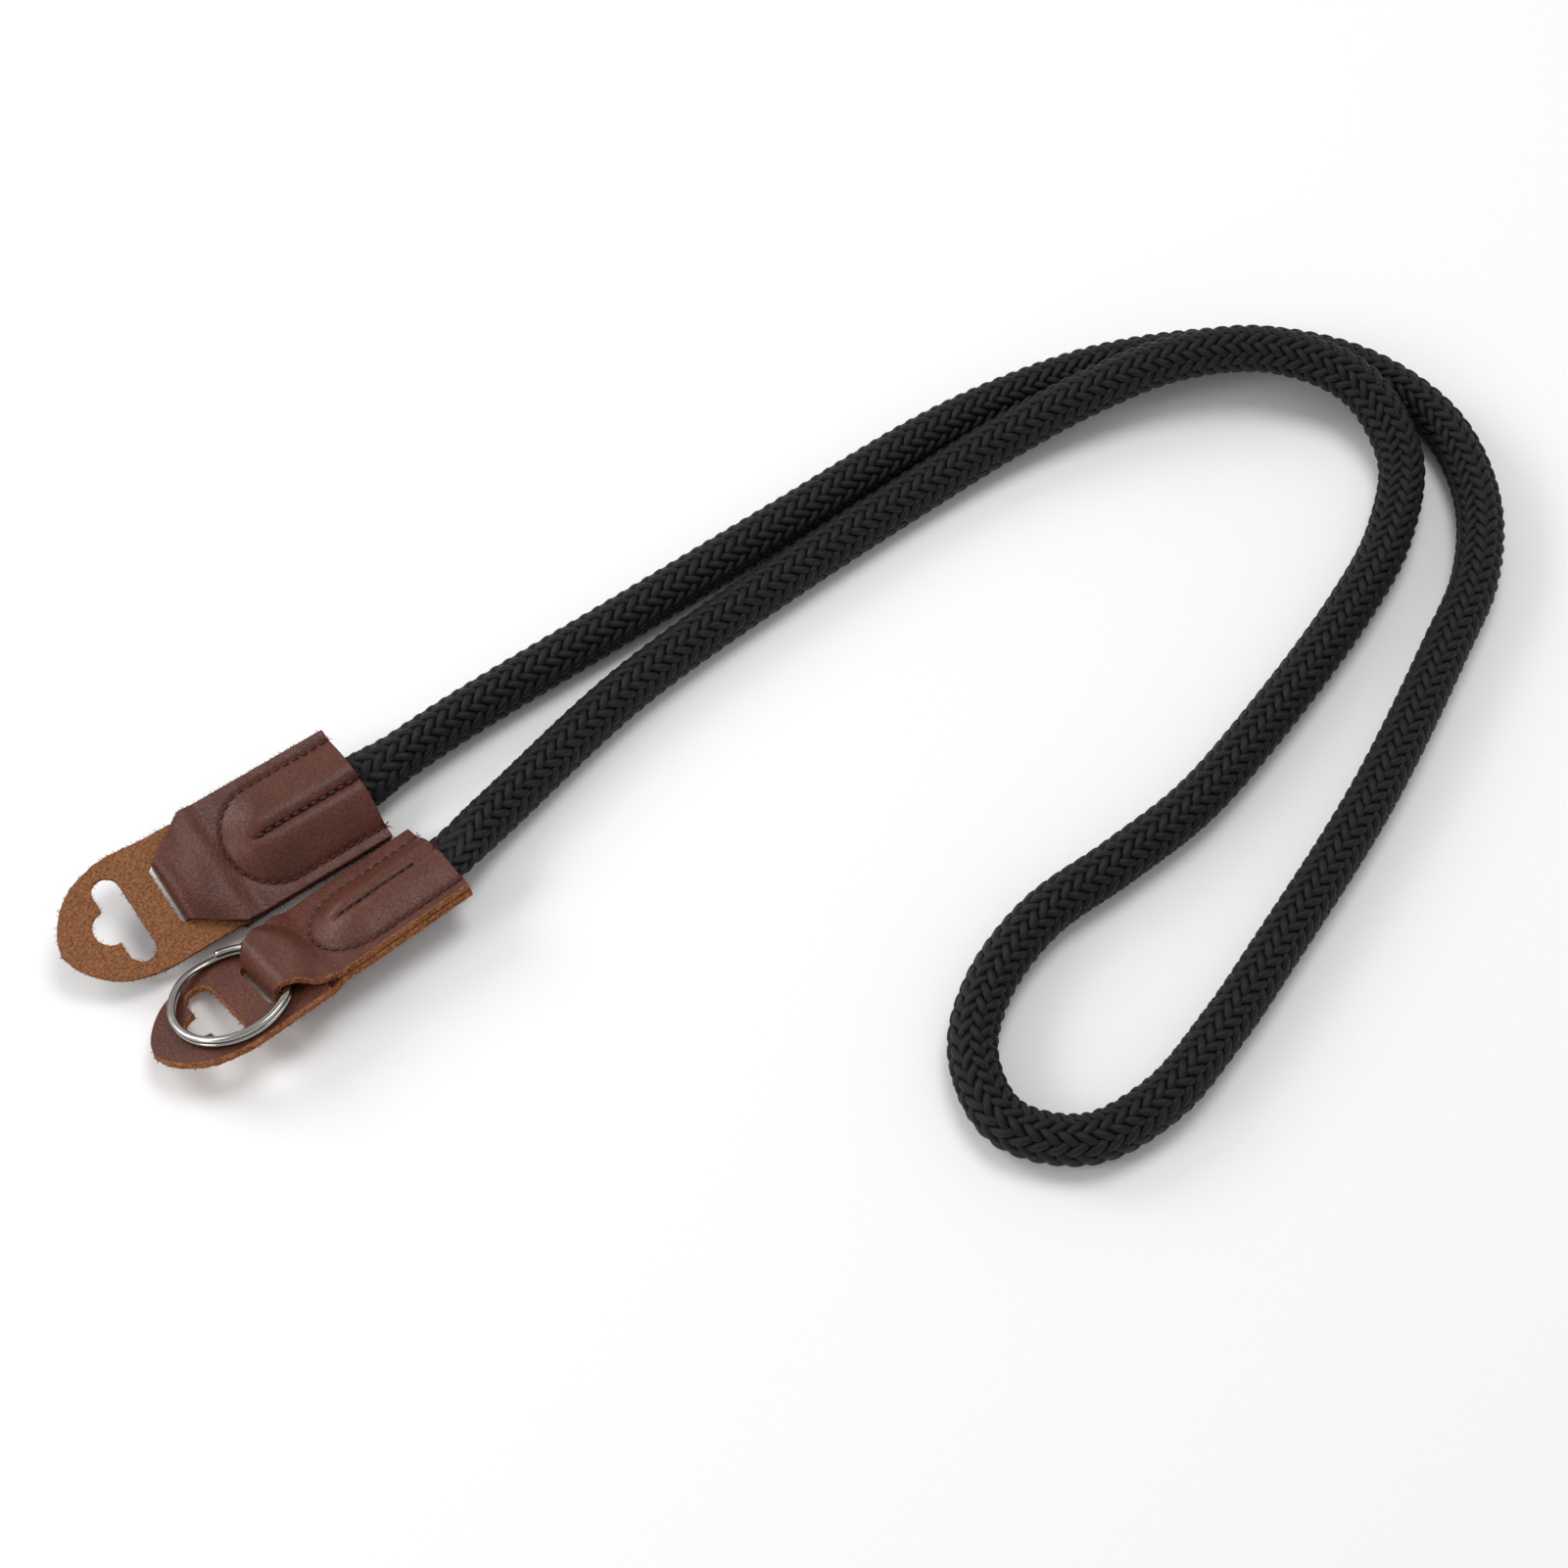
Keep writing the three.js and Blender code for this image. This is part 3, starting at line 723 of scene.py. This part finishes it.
def make_tab(name, end, materials, settings):
    """The folded strip with grain outside, flesh inside and ragged cut edges all round."""
    rows = strip_rows(end, TAB_COLUMNS)
    normals = sheet_normals(rows)
    count, width = rows.shape[:2]
    dip = seam_dip(rows, end, settings.stitch_pitch / METRES) + groove_crease(rows, end)
    wrinkle = 0.09 * ruffle(rows * np.array([1.0, 0.45, 1.0]), 2.6) + 0.12 * ruffle(rows, 7, 3.1)
    outer = rows + normals * (LEATHER / 2 - dip + np.minimum(wrinkle, 0.08))[..., None]
    inner = rows - normals * (LEATHER / 2)
    grid = np.arange(count * width).reshape(count, width)
    sheet = count * width
    quads = np.stack([grid[:-1, :-1], grid[:-1, 1:], grid[1:, 1:], grid[1:, :-1]], axis=-1).reshape(-1, 4)
    loop = np.concatenate([grid[0, :-1], grid[:-1, -1], grid[-1, :0:-1], grid[:0:-1, 0]])
    flat_rows, flat_normals = rows.reshape(-1, 3), normals.reshape(-1, 3)
    rim = flat_rows[loop]
    tangent = unit(np.roll(rim, -1, axis=0) - np.roll(rim, 1, axis=0))
    outward = unit(np.cross(tangent, flat_normals[loop]))
    vertices = [outer.reshape(-1, 3), inner.reshape(-1, 3)]
    previous = loop
    start = 2 * sheet
    faces = [quads, quads[:, ::-1] + sheet]
    kinds = [np.zeros(len(quads), int), np.ones(len(quads), int)]
    for level, (height, out, rag) in enumerate(TAB_EDGE):
        shift = out + rag * ruffle(rim, 0.55, level * 5.7) + 0.6 * rag * ruffle(rim, 1.7, level + 0.5)
        ring = rim + flat_normals[loop] * (height * LEATHER) + outward * shift[:, None]
        vertices.append(ring)
        current = start + np.arange(len(loop))
        faces.append(band(previous, current))
        kinds.append(np.full(len(loop), 2))
        previous = current
        start += len(loop)
    faces.append(band(previous, loop + sheet))
    kinds.append(np.full(len(loop), 2))
    return make_object(name, to_world(np.concatenate(vertices), end), np.concatenate(faces), materials,
                       np.concatenate(kinds))


def surface_at(x, y, side, end):
    """A point on a layer's outer face and the direction out of it, in the end's frame."""
    step = 0.05
    height = layer_height(x, y, side, end)
    slope_x = (layer_height(x + step, y, side, end) - layer_height(x - step, y, side, end)) / (2 * step)
    slope_y = (layer_height(x, y + step, side, end) - layer_height(x, y - step, side, end)) / (2 * step)
    normal = np.array([-slope_x, -slope_y, 1.0])
    normal /= np.linalg.norm(normal)
    point = np.array([x, y, height]) + normal * LEATHER / 2
    return point * np.array([1, 1, side]), normal * np.array([1, 1, side])


def make_stitches(name, end, material, settings):
    """Every stitch of both layers, as short bent rods that dive into the leather at their ends."""
    pitch = settings.stitch_pitch / METRES
    radius = settings.thread_diameter / METRES / 2
    sides, joints = STITCH_SIDES, STITCH_JOINTS
    angle = np.linspace(0, 2 * math.pi, sides, endpoint=False)
    vertices, faces = [], []
    count = 0
    for side in (1, -1):
        for seam, line in enumerate(seam_lines(end)):
            depth = U_SEAM_SUNK if seam == 0 else GROOVE_SEAM_SUNK
            flat, _ = even_steps(np.column_stack([line, np.zeros(len(line))]), pitch)
            for index, (first, second) in enumerate(zip(flat[:-1], flat[1:])):
                sway = 0.75 + 0.2 * math.sin(2.4 * index + seam)
                across = np.array([-(second - first)[1], (second - first)[0]]) / pitch
                rings = []
                for share in np.linspace(0.1, 0.9, joints):
                    x, y = (first + (second - first) * share)[:2] + across * sway * (share - 0.5)
                    point, normal = surface_at(x, y, side, end)
                    bow = math.sin(math.pi * (share - 0.1) / 0.8)
                    lifted = point + normal * (STITCH_BOW * bow - depth - STITCH_SUNK)
                    rings.append((lifted, normal, mix(0.45, 1, bow)))
                centres = np.array([ring[0] for ring in rings])
                ahead = unit(np.gradient(centres, axis=0))
                for centre, forward, (_, normal, share) in zip(centres, ahead, rings):
                    across_ring = np.cross(forward, normal)
                    vertices.append(centre + radius * share * (np.outer(np.cos(angle), across_ring)
                                                              + np.outer(np.sin(angle), normal)))
                faces += capped_tube(joints, sides, count)
                count += joints * sides
    return make_object(name, to_world(np.concatenate(vertices), end), faces, [material])


# Flaps

def arc(centre, radius, start, stop, steps):
    angle = np.radians(np.linspace(start, stop, steps))
    return np.stack([centre[0] + radius * np.cos(angle), centre[1] + radius * np.sin(angle)], axis=1)


def edge_directions(loop, is_hole):
    """The directions out of the leather along a closed outline, and whether the outline runs left about."""
    ahead = unit(np.roll(loop, -1, axis=0) - np.roll(loop, 1, axis=0))
    area = np.sum(loop[:, 0] * np.roll(loop[:, 1], -1) - loop[:, 1] * np.roll(loop[:, 0], -1))
    out = np.stack([ahead[:, 1], -ahead[:, 0]], axis=1) * np.sign(area) * (-1 if is_hole else 1)
    return out, area > 0


def closed_steps(points, step):
    """A closed outline with points at even distances."""
    ring = np.concatenate([points, points[:1]])
    line, _ = even_steps(np.column_stack([ring, np.zeros(len(ring))]), step)
    return line[:-1, :2]


def flap_outline(end):
    side = [(FLAP_REAR, FLAP_WIDTH / 2)]
    side += [(-row["past"] * FLAP_TIP, row["wide"] * FLAP_WIDTH / 2) for row in FLAP_OUTLINE]
    half = [np.array([x, y, 0.0]) for x, y in side] + [np.array([-FLAP_TIP, 0.0, 0.0])]
    left = centripetal(half, 12)[:, :2]
    right = left[::-1][1:].copy()
    right[:, 1] *= end["trim"] * smooth(*TRIM_RUN, right[:, 0]) - 1
    before_corner = right[right[:, 0] < FLAP_REAR - end["corner"]]
    rear = np.array([[FLAP_REAR - end["corner"], right[-1, 1]], [FLAP_REAR, right[-1, 1] + end["corner"]]])
    return closed_steps(np.concatenate([left, before_corner, rear]), OUTLINE_SPACING)


def keyhole():
    radius = HOLE_BAR_WIDTH / 2
    middle = -HOLE_REAR - radius
    end = HOLE_BAR_LENGTH / 2 - radius
    return closed_steps(np.concatenate([
        arc((middle, end), radius, 0, 180, 14),
        arc((middle - radius, 0), HOLE_LOBE_RADIUS, 90, 270, 24),
        arc((middle, -end), radius, 180, 360, 14),
    ]), KEYHOLE_SPACING)


def fold_slot():
    rear = LEATHER + CLEARANCE
    radius = (rear + SLOT_FRONT) / 2
    middle = rear - radius
    end = FOLD_WIDTH / 2 + CLEARANCE - radius
    return closed_steps(np.concatenate([
        arc((middle, end), radius, 0, 180, 12),
        arc((middle, -end), radius, 180, 360, 12),
    ]), OUTLINE_SPACING)


def flap_loops(end):
    """The flap's closed outlines: its rim first, then its holes."""
    return flap_outline(end), keyhole(), fold_slot()


def make_flap(name, end, materials):
    """The flat tongue: grain on the ring's side, flesh on the other, ragged cut edges between."""
    vertices, faces, kinds = [], [], []
    count = 0
    tops, bottoms = [], []
    for order, loop in enumerate(flap_loops(end)):
        outward, left_about = edge_directions(loop, order > 0)
        size = len(loop)
        for level, (share, out, rag) in enumerate(FLAP_EDGE):
            height = share * FLAP_THICKNESS
            flat = np.column_stack([loop, np.full(size, height)])
            coarse = 0.6 * rag * ruffle(flat, 1.6, 0.7 + level)
            shift = out + rag * ruffle(flat, 0.5, level * 3.3 + order) + coarse
            vertices.append(np.column_stack([loop + outward * shift[:, None], np.full(size, height)]))
            if level:
                above = count + (level - 1) * size + np.arange(size)
                below = above + size
                quads = band(above, below)
                faces += (quads[:, ::-1] if left_about != (order == 0) else quads).tolist()
                kinds.extend([2] * size)
        tops.append(np.arange(count, count + size))
        count += len(FLAP_EDGE) * size
        bottoms.append(np.arange(count - size, count))
    points = np.concatenate(vertices)
    flat_faces = []
    for rings, kind, sign in ((tops, 0, 1), (bottoms, 1, -1)):
        order = np.concatenate(rings)
        for triangle in tessellate_polygon([[Vector(points[i]) for i in ring] for ring in rings]):
            a, b, c = (points[order[k]] for k in triangle)
            upward = np.cross(b - a, c - a)[2] * sign > 0
            corners = triangle if upward else triangle[::-1]
            flat_faces.append(len(faces))
            faces.append(tuple(int(order[k]) for k in corners))
            kinds.append(kind)
    return make_object(name, to_world(points, end), faces, materials, kinds, flat=flat_faces)


def make_hairs(name, end, roots, outward, length, width, material, seed):
    """Short bent fibres or thread ends, each a thin spike with three sides."""
    random = np.random.default_rng(seed)
    count = len(roots)
    ahead = unit(outward + HAIR_SPREAD * random.normal(size=(count, 3)))
    bent = unit(ahead + HAIR_BEND * random.normal(size=(count, 3)))
    side = unit(np.cross(ahead, random.normal(size=(count, 3))))
    other = np.cross(ahead, side)
    reach = length * random.uniform(0.3, 1, (count, 1))
    middle = roots + ahead * reach / 2
    tip = middle + bent * reach / 2
    points = []
    for centre, share in ((roots - HAIR_ROOT * ahead, 1), (middle, 0.7)):
        for angle in np.arange(3) * 2 * math.pi / 3:
            points.append(centre + (side * math.cos(angle) + other * math.sin(angle)) * width * share / 2)
    points.append(tip)
    faces = []
    for first in range(0, count * len(points), len(points)):
        faces.append((first + 2, first + 1, first))
        for k in range(3):
            after = (k + 1) % 3
            faces.append((first + k, first + after, first + after + 3, first + k + 3))
            faces.append((first + k + 3, first + after + 3, first + 6))
    vertices = np.stack(points, axis=1).reshape(-1, 3)
    return make_object(name, to_world(vertices, end), faces, [material])


def make_fibres(name, end, roots, outward, material, random, seed):
    """Loose fibres at a share of the places given."""
    roots, outward = np.concatenate(roots), np.concatenate(outward)
    kept = random.uniform(size=len(roots)) < FIBRE_SHARE
    return make_hairs(name, end, roots[kept], outward[kept], FIBRE_LENGTH, FIBRE_WIDTH, material, seed + 1)


def flap_fibres(name, end, material, seed):
    """Loose fibres along the flap's cut edges."""
    roots, outward = [], []
    random = np.random.default_rng(seed)
    for order, loop in enumerate(flap_loops(end)):
        out, _ = edge_directions(loop, order > 0)
        height = random.uniform(-0.5, 0.1, len(loop)) * FLAP_THICKNESS
        roots.append(np.column_stack([loop, height]))
        outward.append(np.column_stack([out, np.full(len(loop), -0.2)]))
    return make_fibres(name, end, roots, outward, material, random, seed)


def tab_fibres(name, end, material, seed):
    """Loose fibres along the tab's long cut edges."""
    random = np.random.default_rng(seed)
    rows = strip_rows(end, 5)
    normals = sheet_normals(rows)
    roots, outward = [], []
    for column, sign in ((0, -1), (-1, 1)):
        for _ in range(3):
            depth = random.uniform(-0.5, 0.2, (len(rows), 1)) * LEATHER
            out = np.column_stack([np.zeros(len(rows)), np.full(len(rows), sign), normals[:, column, 2]])
            roots.append(rows[:, column] + normals[:, column] * depth)
            outward.append(unit(out))
    return make_fibres(name, end, roots, outward, material, random, seed)


def thread_ends(name, end, material, seed):
    """Frayed ends of the thread where each seam reaches the mouth."""
    roots, outward = [], []
    for side in (1, -1):
        for y in (end["seam"] / 2, 0, -end["seam"] / 2):
            point, normal = surface_at(TAB_LENGTH - SEAM_OFF_MOUTH, y, side, end)
            roots += [point - HAIR_ROOT * normal] * THREADS_FRAYED
            outward += [np.array([0.9, 0, 0]) + 0.5 * normal] * THREADS_FRAYED
    return make_hairs(name, end, np.array(roots), np.array(outward), FRAY_LENGTH, FRAY_WIDTH, material, seed)


# Split rings

def make_ring(name, end, material):
    """Two turns of flat wire, one above the other, with a jog where it climbs."""
    steps, sides = RING_STEPS, WIRE_SIDES
    turned = np.linspace(RING_JOG, 4 * math.pi - RING_JOG, steps)
    climbed = smooth(2 * math.pi - RING_JOG, 2 * math.pi + RING_JOG, turned)
    radius = (RING_DIAMETER - WIRE_WIDTH) / 2
    angle = turned + RING_JOG_PLACE
    height = RING_UNDERSIDE + WIRE_HEIGHT / 2 + climbed * (WIRE_HEIGHT + COIL_GAP)
    outward = np.stack([np.cos(angle), np.sin(angle), np.zeros(steps)], axis=1)
    middle = np.array([RING_CENTRE, end["ring_aside"], 0])
    centre = outward * radius + middle + height[:, None] * np.array([0, 0, 1])
    around = np.linspace(0, 2 * math.pi, sides, endpoint=False)
    round_x = np.sign(np.cos(around)) * np.abs(np.cos(around)) ** WIRE_SQUARENESS
    round_z = np.sign(np.sin(around)) * np.abs(np.sin(around)) ** WIRE_SQUARENESS
    taper = np.minimum(1, np.minimum(np.arange(steps), np.arange(steps)[::-1]) / 2 + 0.72)
    ring = (outward[:, None] * (round_x * WIRE_WIDTH / 2)[None, :, None]
            + np.array([0, 0, 1])[None, None] * (round_z * WIRE_HEIGHT / 2)[None, :, None])
    points = centre[:, None] + ring * taper[:, None, None]
    faces = [face[::-1] for face in capped_tube(steps, sides)]
    return make_object(name, to_world(points.reshape(-1, 3), end), faces, [material])


# Sizes and colours that a user would change

class StrapSizes(bpy.types.PropertyGroup):
    """Sizes of what is added to the solids."""
    rope_diameter: FloatProperty(
        name="Rope diameter", description="Outer diameter of the braid", default=0.010, unit="LENGTH")
    braid_lead: FloatProperty(
        name="Braid lead", description="Length in which a strand goes once round the rope", default=0.0372,
        unit="LENGTH")
    strand_width: FloatProperty(
        name="Strand width", description="Width of one strand", default=0.0019, unit="LENGTH")
    strand_thickness: FloatProperty(
        name="Strand thickness", description="Thickness of one strand", default=0.00105, unit="LENGTH")
    stitch_pitch: FloatProperty(
        name="Stitch pitch", description="Length of one stitch with its gap", default=0.0021, unit="LENGTH")
    thread_diameter: FloatProperty(
        name="Thread diameter", description="Diameter of the sewing thread", default=0.0008, unit="LENGTH")


class StrapColours(bpy.types.PropertyGroup):
    """Linear colours of the materials."""
    grain: FloatVectorProperty(
        name="Grain side", description="Smooth side of the leather", default=(0.108, 0.033, 0.020),
        subtype="COLOR")
    flesh: FloatVectorProperty(
        name="Flesh side", description="Rough side of the leather", default=(0.27, 0.115, 0.052),
        subtype="COLOR")
    edge: FloatVectorProperty(
        name="Cut edge", description="Cut edges of the leather", default=(0.31, 0.12, 0.05), subtype="COLOR")
    dark_edge: FloatVectorProperty(
        name="Dark cut edge", description="Cut edges of end a's tab", default=(0.10, 0.036, 0.020),
        subtype="COLOR")
    thread: FloatVectorProperty(
        name="Thread", description="Sewing thread", default=(0.042, 0.012, 0.009), subtype="COLOR")
    fray: FloatVectorProperty(
        name="Frayed thread", description="Loose thread at the mouths", default=(0.11, 0.012, 0.014),
        subtype="COLOR")
    rope: FloatVectorProperty(
        name="Rope", description="Braided strands", default=(0.0042, 0.0042, 0.0044), subtype="COLOR")
    steel: FloatVectorProperty(
        name="Steel", description="Split rings", default=(0.40, 0.39, 0.37), subtype="COLOR")


def leather_materials(colours):
    """The leather's grain, flesh and edge materials, made once and shared by tabs and flaps."""
    made = [bpy.data.materials.get(name) for name in ("strap_grain", "strap_flesh", "strap_edge")]
    return made if all(made) else [
        grain_material(colours.grain),
        fibrous_material("strap_flesh", FIBROUS["flesh"], colours.flesh),
        fibrous_material("strap_edge", FIBROUS["edge"], colours.edge),
    ]


def ride_as(slot, *pieces):
    """Fixes the pieces to the strap's one body. The slot is not used."""
    for piece in pieces:
        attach(piece, BODY)


class STRAP_OT_rope(bpy.types.Operator):
    bl_idname = "strap.rope"
    bl_label = "Rope"

    def execute(self, context):
        settings, colours = context.scene.strap_sizes, context.scene.strap_colours
        core, line, along = make_core(settings, colours)
        strands = make_strands(settings, colours)
        ride_as("braided_cord", core, *strands)
        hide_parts("rope")
        return {"FINISHED"}


class STRAP_OT_tabs(bpy.types.Operator):
    """Makes both folded leather tabs and their stitches"""
    bl_idname = "strap.tabs"
    bl_label = "Leather tabs"

    def execute(self, context):
        settings, colours = context.scene.strap_sizes, context.scene.strap_colours
        leather = leather_materials(colours)
        dark_edge = fibrous_material("strap_dark_edge", FIBROUS["edge"], colours.dark_edge)
        edges = {"a": dark_edge, "b": leather[2]}
        thread = fibrous_material("strap_thread", FIBROUS["thread"], colours.thread)
        fray = fibrous_material("strap_fray", FIBROUS["thread"], colours.fray)
        for key, end in ENDS.items():
            tab = make_tab(f"tab_{key}", end, [*leather[:2], edges[key]], settings)
            stitches = make_stitches(f"stitches_{key}", end, thread, settings)
            fibres = tab_fibres(f"tab_fibres_{key}", end, edges[key], SEEDS["tab_fibres"] + ord(key))
            frayed = thread_ends(f"thread_ends_{key}", end, fray, SEEDS["thread_ends"] + ord(key))
            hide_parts(f"leather_tab_{key}")
            ride_as("grain_leather", tab, stitches, fibres, frayed)
        return {"FINISHED"}


class STRAP_OT_flaps(bpy.types.Operator):
    """Makes both flaps with their keyholes"""
    bl_idname = "strap.flaps"
    bl_label = "Flaps"

    def execute(self, context):
        leather = leather_materials(context.scene.strap_colours)
        for key, end in ENDS.items():
            flap = make_flap(f"flap_{key}", end, leather)
            fibres = flap_fibres(f"flap_fibres_{key}", end, leather[2], SEEDS["flap_fibres"] + ord(key))
            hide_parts(f"leather_flap_{key}")
            ride_as("flesh_leather", flap, fibres)
        return {"FINISHED"}


class STRAP_OT_rings(bpy.types.Operator):
    """Makes both split rings"""
    bl_idname = "strap.rings"
    bl_label = "Split rings"

    def execute(self, context):
        steel = steel_material(context.scene.strap_colours.steel)
        for key, end in ENDS.items():
            ring = make_ring(f"ring_{key}", end, steel)
            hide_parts(f"split_ring_{key}")
            ride_as("ring_steel", ring)
        return {"FINISHED"}


def add_light(name, place, aim, size, power):
    light = bpy.data.lights.new(name, "AREA")
    light.shape = "DISK"
    light.size = size
    light.energy = power
    thing = bpy.data.objects.new(name, light)
    thing.location = place
    thing.rotation_euler = (Vector(aim) - Vector(place)).to_track_quat("-Z", "Y").to_euler()
    bpy.context.scene.collection.objects.link(thing)


class STRAP_OT_stage(bpy.types.Operator):
    """Sets the white surroundings, the lights and the camera"""
    bl_idname = "strap.stage"
    bl_label = "Stage"

    def execute(self, context):
        scene = context.scene
        world = bpy.data.worlds.new("white_studio")
        world.use_nodes = True
        tree = world.node_tree
        direction = tree.nodes.new("ShaderNodeTexCoord")
        parts = tree.nodes.new("ShaderNodeSeparateXYZ")
        fade = tree.nodes.new("ShaderNodeMapRange")
        for socket, number in zip(("From Min", "From Max", "To Min", "To Max"), SKY_FADE):
            fade.inputs[socket].default_value = number
        tree.links.new(direction.outputs["Generated"], parts.inputs[0])
        tree.links.new(parts.outputs[2], fade.inputs["Value"])
        tree.links.new(fade.outputs[0], tree.nodes["Background"].inputs["Color"])
        scene.world = world
        half = FLOOR_SIZE / METRES / 2
        corners = [(-half, -half, 0), (half, -half, 0), (half, half, 0), (-half, half, 0)]
        make_object("floor", corners, [(0, 1, 2, 3)], [floor_material(FLOOR_COLOUR)])
        for name, place, size, power in LIGHTS:
            add_light(name, place, LIGHTS_AIM, size, power)
        camera = bpy.data.cameras.new("camera")
        camera.sensor_width = SENSOR_WIDTH
        camera.angle = math.radians(FIELD_OF_VIEW)
        camera.clip_start = CLIP_START
        thing = bpy.data.objects.new("camera", camera)
        place, aim = Vector(CAMERA_AT) * METRES, Vector(CAMERA_AIM) * METRES
        thing.location = place
        thing.rotation_euler = (aim - place).to_track_quat("-Z", "Y").to_euler()
        scene.collection.objects.link(thing)
        scene.camera = thing
        scene.view_settings.view_transform = "Standard"
        scene.view_settings.look = "None"
        return {"FINISHED"}


class STRAP_PT_panel(bpy.types.Panel):
    """Lists the strap's steps"""
    bl_idname = "STRAP_PT_panel"
    bl_label = "Camera neck strap"
    bl_space_type = "VIEW_3D"
    bl_region_type = "UI"
    bl_category = "Strap"

    def draw(self, context):
        layout = self.layout
        for step in STEPS:
            layout.operator(step.bl_idname)
        for group in (context.scene.strap_sizes, context.scene.strap_colours):
            box = layout.box()
            for name in group.__annotations__:
                box.prop(group, name)


STEPS = (STRAP_OT_stage, STRAP_OT_rope, STRAP_OT_tabs, STRAP_OT_flaps, STRAP_OT_rings)
CLASSES = (StrapSizes, StrapColours, *STEPS, STRAP_PT_panel)


def register():
    for each in CLASSES:
        bpy.utils.register_class(each)
    bpy.types.Scene.strap_sizes = PointerProperty(type=StrapSizes)
    bpy.types.Scene.strap_colours = PointerProperty(type=StrapColours)


def unregister():
    del bpy.types.Scene.strap_colours
    del bpy.types.Scene.strap_sizes
    for each in reversed(CLASSES):
        bpy.utils.unregister_class(each)


def main():
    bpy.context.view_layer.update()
    register()
    bpy.ops.strap.stage()
    bpy.ops.strap.rope()
    bpy.ops.strap.tabs()
    bpy.ops.strap.flaps()
    bpy.ops.strap.rings()


if __name__ == "__main__":
    main()
